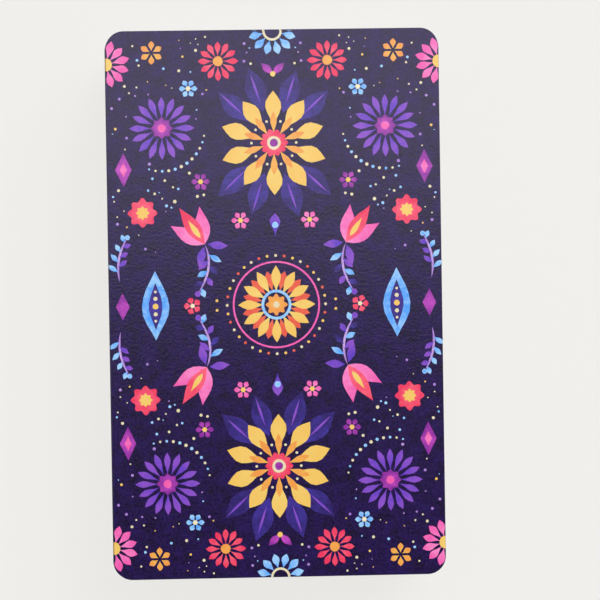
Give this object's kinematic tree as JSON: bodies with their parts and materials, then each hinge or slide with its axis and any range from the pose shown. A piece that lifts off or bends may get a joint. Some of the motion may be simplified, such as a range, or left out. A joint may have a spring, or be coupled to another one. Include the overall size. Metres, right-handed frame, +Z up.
{
  "type": "tarot deck",
  "caption": "Squared stack of round-cornered tarot cards lying face down: the cards fan about one corner, the upper packet cuts to one side and the top card draws off.",
  "frame": {"origin": "middle of the deck's footprint, on the surface that its lowest card lies on", "axes": "+X across a card, +Y along a card, +Z up through the stack"},
  "size_m": [0.0734, 0.1204, 0.0273],
  "materials": {
    "card_board": "matt-laminated board, printed all over on the back"
  },
  "bodies": {
    "major_fool": {"major_fool": "card_board"},
    "major_magician": {"major_magician": "card_board"},
    "major_high_priestess": {"major_high_priestess": "card_board"},
    "major_empress": {"major_empress": "card_board"},
    "major_emperor": {"major_emperor": "card_board"},
    "major_hierophant": {"major_hierophant": "card_board"},
    "major_lovers": {"major_lovers": "card_board"},
    "major_chariot": {"major_chariot": "card_board"},
    "major_strength": {"major_strength": "card_board"},
    "major_hermit": {"major_hermit": "card_board"},
    "major_wheel_of_fortune": {"major_wheel_of_fortune": "card_board"},
    "major_justice": {"major_justice": "card_board"},
    "major_hanged_man": {"major_hanged_man": "card_board"},
    "major_death": {"major_death": "card_board"},
    "major_temperance": {"major_temperance": "card_board"},
    "major_devil": {"major_devil": "card_board"},
    "major_tower": {"major_tower": "card_board"},
    "major_star": {"major_star": "card_board"},
    "major_moon": {"major_moon": "card_board"},
    "major_sun": {"major_sun": "card_board"},
    "major_judgement": {"major_judgement": "card_board"},
    "major_world": {"major_world": "card_board"},
    "wands_ace_and_two": {"wands_ace_and_two": "card_board"},
    "wands_three_and_four": {"wands_three_and_four": "card_board"},
    "wands_five_and_six": {"wands_five_and_six": "card_board"},
    "wands_seven_and_eight": {"wands_seven_and_eight": "card_board"},
    "wands_nine_and_ten": {"wands_nine_and_ten": "card_board"},
    "wands_page": {"wands_page": "card_board"},
    "wands_knight": {"wands_knight": "card_board"},
    "wands_queen": {"wands_queen": "card_board"},
    "wands_king": {"wands_king": "card_board"},
    "cups_ace_and_two": {"cups_ace_and_two": "card_board"},
    "cups_three_and_four": {"cups_three_and_four": "card_board"},
    "cups_five_and_six": {"cups_five_and_six": "card_board"},
    "cups_seven_and_eight": {"cups_seven_and_eight": "card_board"},
    "cups_nine_and_ten": {"cups_nine_and_ten": "card_board"},
    "cups_page": {"cups_page": "card_board"},
    "cups_knight": {"cups_knight": "card_board"},
    "cups_queen": {"cups_queen": "card_board"},
    "cups_king": {"cups_king": "card_board"},
    "swords_ace_and_two": {"swords_ace_and_two": "card_board"},
    "swords_three_and_four": {"swords_three_and_four": "card_board"},
    "swords_five_and_six": {"swords_five_and_six": "card_board"},
    "swords_seven_and_eight": {"swords_seven_and_eight": "card_board"},
    "swords_nine_and_ten": {"swords_nine_and_ten": "card_board"},
    "swords_page": {"swords_page": "card_board"},
    "swords_knight": {"swords_knight": "card_board"},
    "swords_queen": {"swords_queen": "card_board"},
    "swords_king": {"swords_king": "card_board"},
    "coins_ace_and_two": {"coins_ace_and_two": "card_board"},
    "coins_three_and_four": {"coins_three_and_four": "card_board"},
    "coins_five_and_six": {"coins_five_and_six": "card_board"},
    "coins_seven_and_eight": {"coins_seven_and_eight": "card_board"},
    "coins_nine_and_ten": {"coins_nine_and_ten": "card_board"},
    "coins_page": {"coins_page": "card_board"},
    "coins_knight": {"coins_knight": "card_board"},
    "coins_queen": {"coins_queen": "card_board"},
    "coins_king": {"coins_king": "card_board"}
  },
  "joints": [
    {"name": "fan_major_magician", "type": "hinge", "parent": "major_fool", "child": "major_magician", "pos_m": [-0.03236, -0.05615, 0.00052], "axis": [0, 0, 1], "range_deg": [0, 3]},
    {"name": "fan_major_high_priestess", "type": "hinge", "parent": "major_fool", "child": "major_high_priestess", "pos_m": [-0.0327, -0.05598, 0.00086], "axis": [0, 0, 1], "range_deg": [0, 6]},
    {"name": "fan_major_empress", "type": "hinge", "parent": "major_fool", "child": "major_empress", "pos_m": [-0.03234, -0.05588, 0.00121], "axis": [0, 0, 1], "range_deg": [0, 9]},
    {"name": "fan_major_emperor", "type": "hinge", "parent": "major_fool", "child": "major_emperor", "pos_m": [-0.03253, -0.0562, 0.00156], "axis": [0, 0, 1], "range_deg": [0, 12]},
    {"name": "fan_major_hierophant", "type": "hinge", "parent": "major_fool", "child": "major_hierophant", "pos_m": [-0.03261, -0.05583, 0.00192], "axis": [0, 0, 1], "range_deg": [0, 15]},
    {"name": "fan_major_lovers", "type": "hinge", "parent": "major_fool", "child": "major_lovers", "pos_m": [-0.03231, -0.05605, 0.00227], "axis": [0, 0, 1], "range_deg": [0, 18]},
    {"name": "fan_major_chariot", "type": "hinge", "parent": "major_fool", "child": "major_chariot", "pos_m": [-0.03268, -0.05609, 0.00262], "axis": [0, 0, 1], "range_deg": [0, 21]},
    {"name": "fan_major_strength", "type": "hinge", "parent": "major_fool", "child": "major_strength", "pos_m": [-0.03243, -0.05581, 0.00297], "axis": [0, 0, 1], "range_deg": [0, 24]},
    {"name": "fan_major_hermit", "type": "hinge", "parent": "major_fool", "child": "major_hermit", "pos_m": [-0.03242, -0.05618, 0.00331], "axis": [0, 0, 1], "range_deg": [0, 27]},
    {"name": "fan_major_wheel_of_fortune", "type": "hinge", "parent": "major_fool", "child": "major_wheel_of_fortune", "pos_m": [-0.03268, -0.05592, 0.00366], "axis": [0, 0, 1], "range_deg": [0, 30]},
    {"name": "fan_major_justice", "type": "hinge", "parent": "major_fool", "child": "major_justice", "pos_m": [-0.03231, -0.05594, 0.00402], "axis": [0, 0, 1], "range_deg": [0, 33]},
    {"name": "fan_major_hanged_man", "type": "hinge", "parent": "major_fool", "child": "major_hanged_man", "pos_m": [-0.0326, -0.05617, 0.00436], "axis": [0, 0, 1], "range_deg": [0, 36]},
    {"name": "fan_major_death", "type": "hinge", "parent": "major_fool", "child": "major_death", "pos_m": [-0.03254, -0.0558, 0.00471], "axis": [0, 0, 1], "range_deg": [0, 39]},
    {"name": "fan_major_temperance", "type": "hinge", "parent": "major_fool", "child": "major_temperance", "pos_m": [-0.03234, -0.05611, 0.00507], "axis": [0, 0, 1], "range_deg": [0, 42]},
    {"name": "fan_major_devil", "type": "hinge", "parent": "major_fool", "child": "major_devil", "pos_m": [-0.0327, -0.05603, 0.00541], "axis": [0, 0, 1], "range_deg": [0, 45]},
    {"name": "fan_major_tower", "type": "hinge", "parent": "major_fool", "child": "major_tower", "pos_m": [-0.03237, -0.05585, 0.00577], "axis": [0, 0, 1], "range_deg": [0, 48]},
    {"name": "fan_major_star", "type": "hinge", "parent": "major_fool", "child": "major_star", "pos_m": [-0.03249, -0.0562, 0.00611], "axis": [0, 0, 1], "range_deg": [0, 51]},
    {"name": "fan_major_moon", "type": "hinge", "parent": "major_fool", "child": "major_moon", "pos_m": [-0.03264, -0.05586, 0.00647], "axis": [0, 0, 1], "range_deg": [0, 54]},
    {"name": "fan_major_sun", "type": "hinge", "parent": "major_fool", "child": "major_sun", "pos_m": [-0.0323, -0.05601, 0.00681], "axis": [0, 0, 1], "range_deg": [0, 57]},
    {"name": "fan_major_judgement", "type": "hinge", "parent": "major_fool", "child": "major_judgement", "pos_m": [-0.03265, -0.05613, 0.00717], "axis": [0, 0, 1], "range_deg": [0, 60]},
    {"name": "fan_major_world", "type": "hinge", "parent": "major_fool", "child": "major_world", "pos_m": [-0.03247, -0.0558, 0.00751], "axis": [0, 0, 1], "range_deg": [0, 63]},
    {"name": "fan_wands_ace_and_two", "type": "hinge", "parent": "major_fool", "child": "wands_ace_and_two", "pos_m": [-0.03239, -0.05616, 0.00787], "axis": [0, 0, 1], "range_deg": [0, 66]},
    {"name": "fan_wands_three_and_four", "type": "hinge", "parent": "major_fool", "child": "wands_three_and_four", "pos_m": [-0.03233, -0.0559, 0.00856], "axis": [0, 0, 1], "range_deg": [0, 69]},
    {"name": "fan_wands_five_and_six", "type": "hinge", "parent": "major_fool", "child": "wands_five_and_six", "pos_m": [-0.03258, -0.05582, 0.00927], "axis": [0, 0, 1], "range_deg": [0, 72]},
    {"name": "fan_wands_seven_and_eight", "type": "hinge", "parent": "major_fool", "child": "wands_seven_and_eight", "pos_m": [-0.03269, -0.05607, 0.00996], "axis": [0, 0, 1], "range_deg": [0, 75]},
    {"name": "fan_wands_nine_and_ten", "type": "hinge", "parent": "major_fool", "child": "wands_nine_and_ten", "pos_m": [-0.03245, -0.05619, 0.01066], "axis": [0, 0, 1], "range_deg": [0, 78]},
    {"name": "fan_wands_page", "type": "hinge", "parent": "major_fool", "child": "wands_page", "pos_m": [-0.0323, -0.05597, 0.01137], "axis": [0, 0, 1], "range_deg": [0, 81]},
    {"name": "fan_wands_knight", "type": "hinge", "parent": "major_fool", "child": "wands_knight", "pos_m": [-0.03262, -0.05616, 0.01171], "axis": [0, 0, 1], "range_deg": [0, 84]},
    {"name": "fan_wands_queen", "type": "hinge", "parent": "major_fool", "child": "wands_queen", "pos_m": [-0.03252, -0.0558, 0.01206], "axis": [0, 0, 1], "range_deg": [0, 87]},
    {"name": "fan", "type": "hinge", "parent": "major_fool", "child": "wands_king", "pos_m": [-0.03235, -0.05614, 0.01242], "axis": [0, 0, 1], "range_deg": [0, 90]},
    {"name": "cut", "type": "slide", "parent": "wands_king", "child": "cups_ace_and_two", "axis": [-1, 0, 0], "range_m": [0, 0.078]},
    {"name": "fan_cups_three_and_four", "type": "hinge", "parent": "cups_ace_and_two", "child": "cups_three_and_four", "pos_m": [-0.03252, -0.0562, 0.01346], "axis": [0, 0, 1], "range_deg": [0, 3]},
    {"name": "fan_cups_five_and_six", "type": "hinge", "parent": "cups_ace_and_two", "child": "cups_five_and_six", "pos_m": [-0.0323, -0.05603, 0.01417], "axis": [0, 0, 1], "range_deg": [0, 6]},
    {"name": "fan_cups_seven_and_eight", "type": "hinge", "parent": "cups_ace_and_two", "child": "cups_seven_and_eight", "pos_m": [-0.03245, -0.05581, 0.01486], "axis": [0, 0, 1], "range_deg": [0, 9]},
    {"name": "fan_cups_nine_and_ten", "type": "hinge", "parent": "cups_ace_and_two", "child": "cups_nine_and_ten", "pos_m": [-0.03269, -0.05593, 0.01557], "axis": [0, 0, 1], "range_deg": [0, 12]},
    {"name": "fan_cups_page", "type": "hinge", "parent": "cups_ace_and_two", "child": "cups_page", "pos_m": [-0.03258, -0.05618, 0.01627], "axis": [0, 0, 1], "range_deg": [0, 15]},
    {"name": "fan_cups_knight", "type": "hinge", "parent": "cups_ace_and_two", "child": "cups_knight", "pos_m": [-0.03256, -0.05581, 0.01662], "axis": [0, 0, 1], "range_deg": [0, 18]},
    {"name": "fan_cups_queen", "type": "hinge", "parent": "cups_ace_and_two", "child": "cups_queen", "pos_m": [-0.03233, -0.0561, 0.01697], "axis": [0, 0, 1], "range_deg": [0, 21]},
    {"name": "fan_cups_king", "type": "hinge", "parent": "cups_ace_and_two", "child": "cups_king", "pos_m": [-0.0327, -0.05604, 0.01732], "axis": [0, 0, 1], "range_deg": [0, 24]},
    {"name": "fan_swords_ace_and_two", "type": "hinge", "parent": "cups_ace_and_two", "child": "swords_ace_and_two", "pos_m": [-0.03239, -0.05584, 0.01767], "axis": [0, 0, 1], "range_deg": [0, 27]},
    {"name": "fan_swords_three_and_four", "type": "hinge", "parent": "cups_ace_and_two", "child": "swords_three_and_four", "pos_m": [-0.03265, -0.05587, 0.01836], "axis": [0, 0, 1], "range_deg": [0, 30]},
    {"name": "fan_swords_five_and_six", "type": "hinge", "parent": "cups_ace_and_two", "child": "swords_five_and_six", "pos_m": [-0.03264, -0.05614, 0.01906], "axis": [0, 0, 1], "range_deg": [0, 33]},
    {"name": "fan_swords_seven_and_eight", "type": "hinge", "parent": "cups_ace_and_two", "child": "swords_seven_and_eight", "pos_m": [-0.03237, -0.05615, 0.01977], "axis": [0, 0, 1], "range_deg": [0, 36]},
    {"name": "fan_swords_nine_and_ten", "type": "hinge", "parent": "cups_ace_and_two", "child": "swords_nine_and_ten", "pos_m": [-0.03234, -0.05589, 0.02047], "axis": [0, 0, 1], "range_deg": [0, 39]},
    {"name": "fan_swords_page", "type": "hinge", "parent": "cups_ace_and_two", "child": "swords_page", "pos_m": [-0.0326, -0.05583, 0.02116], "axis": [0, 0, 1], "range_deg": [0, 42]},
    {"name": "fan_swords_knight", "type": "hinge", "parent": "cups_ace_and_two", "child": "swords_knight", "pos_m": [-0.03231, -0.05606, 0.02151], "axis": [0, 0, 1], "range_deg": [0, 45]},
    {"name": "fan_swords_queen", "type": "hinge", "parent": "cups_ace_and_two", "child": "swords_queen", "pos_m": [-0.03268, -0.05608, 0.02186], "axis": [0, 0, 1], "range_deg": [0, 48]},
    {"name": "fan_swords_king", "type": "hinge", "parent": "cups_ace_and_two", "child": "swords_king", "pos_m": [-0.03242, -0.05582, 0.02221], "axis": [0, 0, 1], "range_deg": [0, 51]},
    {"name": "fan_coins_ace_and_two", "type": "hinge", "parent": "cups_ace_and_two", "child": "coins_ace_and_two", "pos_m": [-0.03243, -0.05619, 0.02257], "axis": [0, 0, 1], "range_deg": [0, 54]},
    {"name": "fan_coins_three_and_four", "type": "hinge", "parent": "cups_ace_and_two", "child": "coins_three_and_four", "pos_m": [-0.03231, -0.05595, 0.02327], "axis": [0, 0, 1], "range_deg": [0, 57]},
    {"name": "fan_coins_five_and_six", "type": "hinge", "parent": "cups_ace_and_two", "child": "coins_five_and_six", "pos_m": [-0.03253, -0.0558, 0.02397], "axis": [0, 0, 1], "range_deg": [0, 60]},
    {"name": "fan_coins_seven_and_eight", "type": "hinge", "parent": "cups_ace_and_two", "child": "coins_seven_and_eight", "pos_m": [-0.0327, -0.05602, 0.02466], "axis": [0, 0, 1], "range_deg": [0, 63]},
    {"name": "fan_coins_nine_and_ten", "type": "hinge", "parent": "cups_ace_and_two", "child": "coins_nine_and_ten", "pos_m": [-0.0325, -0.0562, 0.02536], "axis": [0, 0, 1], "range_deg": [0, 66]},
    {"name": "fan_coins_page", "type": "hinge", "parent": "cups_ace_and_two", "child": "coins_page", "pos_m": [-0.0323, -0.05602, 0.02607], "axis": [0, 0, 1], "range_deg": [0, 69]},
    {"name": "fan_coins_knight", "type": "hinge", "parent": "cups_ace_and_two", "child": "coins_knight", "pos_m": [-0.03266, -0.05612, 0.02642], "axis": [0, 0, 1], "range_deg": [0, 72]},
    {"name": "fan_coins_queen", "type": "hinge", "parent": "cups_ace_and_two", "child": "coins_queen", "pos_m": [-0.03247, -0.0558, 0.02677], "axis": [0, 0, 1], "range_deg": [0, 75]},
    {"name": "draw", "type": "slide", "parent": "coins_queen", "child": "coins_king", "axis": [1, 0, 0], "range_m": [0, 0.078]}
  ],
  "couplings": [
    {"joint": "fan_major_magician", "follows": "fan", "ratio": 0.033333},
    {"joint": "fan_major_high_priestess", "follows": "fan", "ratio": 0.066667},
    {"joint": "fan_major_empress", "follows": "fan", "ratio": 0.1},
    {"joint": "fan_major_emperor", "follows": "fan", "ratio": 0.13333},
    {"joint": "fan_major_hierophant", "follows": "fan", "ratio": 0.16667},
    {"joint": "fan_major_lovers", "follows": "fan", "ratio": 0.2},
    {"joint": "fan_major_chariot", "follows": "fan", "ratio": 0.23333},
    {"joint": "fan_major_strength", "follows": "fan", "ratio": 0.26667},
    {"joint": "fan_major_hermit", "follows": "fan", "ratio": 0.3},
    {"joint": "fan_major_wheel_of_fortune", "follows": "fan", "ratio": 0.33333},
    {"joint": "fan_major_justice", "follows": "fan", "ratio": 0.36667},
    {"joint": "fan_major_hanged_man", "follows": "fan", "ratio": 0.4},
    {"joint": "fan_major_death", "follows": "fan", "ratio": 0.43333},
    {"joint": "fan_major_temperance", "follows": "fan", "ratio": 0.46667},
    {"joint": "fan_major_devil", "follows": "fan", "ratio": 0.5},
    {"joint": "fan_major_tower", "follows": "fan", "ratio": 0.53333},
    {"joint": "fan_major_star", "follows": "fan", "ratio": 0.56667},
    {"joint": "fan_major_moon", "follows": "fan", "ratio": 0.6},
    {"joint": "fan_major_sun", "follows": "fan", "ratio": 0.63333},
    {"joint": "fan_major_judgement", "follows": "fan", "ratio": 0.66667},
    {"joint": "fan_major_world", "follows": "fan", "ratio": 0.7},
    {"joint": "fan_wands_ace_and_two", "follows": "fan", "ratio": 0.73333},
    {"joint": "fan_wands_three_and_four", "follows": "fan", "ratio": 0.76667},
    {"joint": "fan_wands_five_and_six", "follows": "fan", "ratio": 0.8},
    {"joint": "fan_wands_seven_and_eight", "follows": "fan", "ratio": 0.83333},
    {"joint": "fan_wands_nine_and_ten", "follows": "fan", "ratio": 0.86667},
    {"joint": "fan_wands_page", "follows": "fan", "ratio": 0.9},
    {"joint": "fan_wands_knight", "follows": "fan", "ratio": 0.93333},
    {"joint": "fan_wands_queen", "follows": "fan", "ratio": 0.96667},
    {"joint": "fan_cups_three_and_four", "follows": "fan", "ratio": 0.033333},
    {"joint": "fan_cups_five_and_six", "follows": "fan", "ratio": 0.066667},
    {"joint": "fan_cups_seven_and_eight", "follows": "fan", "ratio": 0.1},
    {"joint": "fan_cups_nine_and_ten", "follows": "fan", "ratio": 0.13333},
    {"joint": "fan_cups_page", "follows": "fan", "ratio": 0.16667},
    {"joint": "fan_cups_knight", "follows": "fan", "ratio": 0.2},
    {"joint": "fan_cups_queen", "follows": "fan", "ratio": 0.23333},
    {"joint": "fan_cups_king", "follows": "fan", "ratio": 0.26667},
    {"joint": "fan_swords_ace_and_two", "follows": "fan", "ratio": 0.3},
    {"joint": "fan_swords_three_and_four", "follows": "fan", "ratio": 0.33333},
    {"joint": "fan_swords_five_and_six", "follows": "fan", "ratio": 0.36667},
    {"joint": "fan_swords_seven_and_eight", "follows": "fan", "ratio": 0.4},
    {"joint": "fan_swords_nine_and_ten", "follows": "fan", "ratio": 0.43333},
    {"joint": "fan_swords_page", "follows": "fan", "ratio": 0.46667},
    {"joint": "fan_swords_knight", "follows": "fan", "ratio": 0.5},
    {"joint": "fan_swords_queen", "follows": "fan", "ratio": 0.53333},
    {"joint": "fan_swords_king", "follows": "fan", "ratio": 0.56667},
    {"joint": "fan_coins_ace_and_two", "follows": "fan", "ratio": 0.6},
    {"joint": "fan_coins_three_and_four", "follows": "fan", "ratio": 0.63333},
    {"joint": "fan_coins_five_and_six", "follows": "fan", "ratio": 0.66667},
    {"joint": "fan_coins_seven_and_eight", "follows": "fan", "ratio": 0.7},
    {"joint": "fan_coins_nine_and_ten", "follows": "fan", "ratio": 0.73333},
    {"joint": "fan_coins_page", "follows": "fan", "ratio": 0.76667},
    {"joint": "fan_coins_knight", "follows": "fan", "ratio": 0.8},
    {"joint": "fan_coins_queen", "follows": "fan", "ratio": 0.83333}
  ]
}
